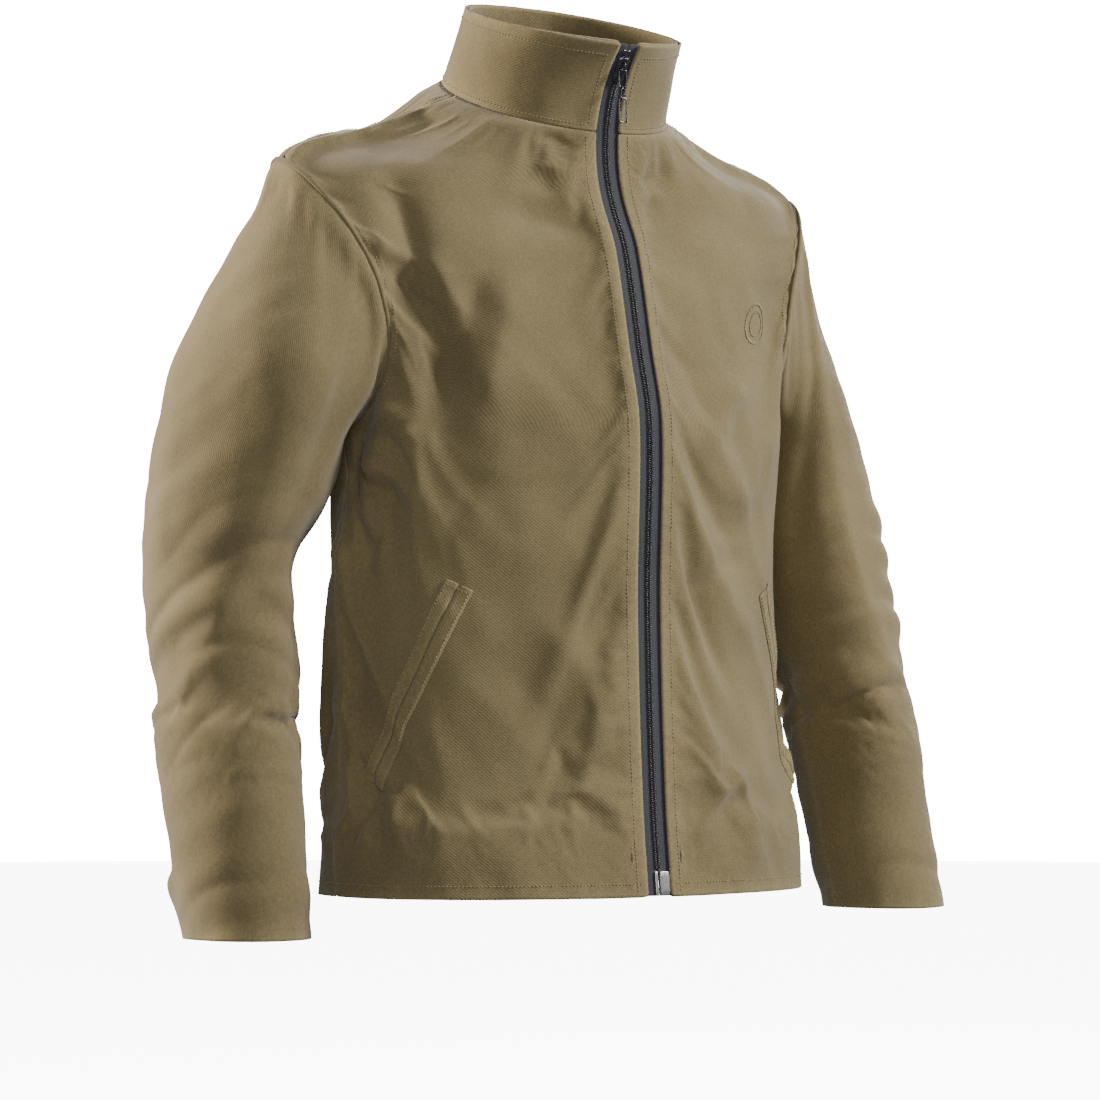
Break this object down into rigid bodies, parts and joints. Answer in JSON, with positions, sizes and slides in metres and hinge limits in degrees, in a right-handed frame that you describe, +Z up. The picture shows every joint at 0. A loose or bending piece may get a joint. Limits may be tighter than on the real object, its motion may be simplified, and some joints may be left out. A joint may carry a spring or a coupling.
{
  "type": "zip-front work jacket",
  "caption": "Stand-collar cotton work jacket with a full front zip, dropped straight sleeves and slanted welt pockets.",
  "frame": {"origin": "centre of the neck opening on the collar seam, where the wearer's neck or a hanger carries the jacket", "axes": "+Z up, -Y the way the wearer faces, +X the wearer's left"},
  "size_m": [0.7171, 0.3107, 0.8097],
  "materials": {
    "shell_fabric": "olive khaki cotton twill",
    "facing_fabric": "darker khaki plain cotton",
    "zip_tape": "dark blue-grey woven tape",
    "zip_coil": "near-black nylon coil",
    "black_nickel": "polished black nickel",
    "bright_steel": "satin",
    "badge_thread": "tone-on-tone embroidery"
  },
  "bodies": {
    "root": {"front_panel_right": "shell_fabric", "front_facing_right": "facing_fabric", "sleeve_right": "shell_fabric", "pocket_right_welt_front": "shell_fabric", "pocket_right_welt_rear": "shell_fabric", "pocket_right_bag": "facing_fabric", "zip_tape_right": "zip_tape", "zip_coil_right": "zip_coil", "zip_top_stop_right": "black_nickel", "front_panel_left": "shell_fabric", "front_facing_left": "facing_fabric", "sleeve_left": "shell_fabric", "pocket_left_welt_front": "shell_fabric", "pocket_left_welt_rear": "shell_fabric", "pocket_left_bag": "facing_fabric", "zip_tape_left": "zip_tape", "zip_coil_left": "zip_coil", "zip_top_stop_left": "black_nickel", "back_panel": "shell_fabric", "collar_outer": "shell_fabric", "collar_interlining": "facing_fabric", "collar_inner": "shell_fabric", "zip_bottom_box": "bright_steel", "zip_insert_pin": "bright_steel", "chest_badge": "badge_thread", "neck_tape": "shell_fabric", "neck_label": "facing_fabric", "hanger_loop": "shell_fabric"},
    "zip_slider": {"zip_slider": "black_nickel"},
    "pull_link": {"pull_link": "black_nickel"},
    "pull_tab": {"pull_tab": "black_nickel"}
  },
  "joints": [
    {"name": "zip_run", "type": "hinge", "parent": "root", "child": "zip_slider", "pos_m": [0, -0.1997, -0.0517], "axis": [1, 0, 0], "range_deg": [-56, 0]},
    {"name": "link_swing", "type": "hinge", "parent": "zip_slider", "child": "pull_link", "pos_m": [0, -0.10802, 0.01298], "axis": [1, 0, 0], "range_deg": [-100, 15]},
    {"name": "tab_swing", "type": "hinge", "parent": "pull_link", "child": "pull_tab", "pos_m": [0, -0.10802, -0.00102], "axis": [1, 0, 0], "range_deg": [-45, 10]}
  ]
}
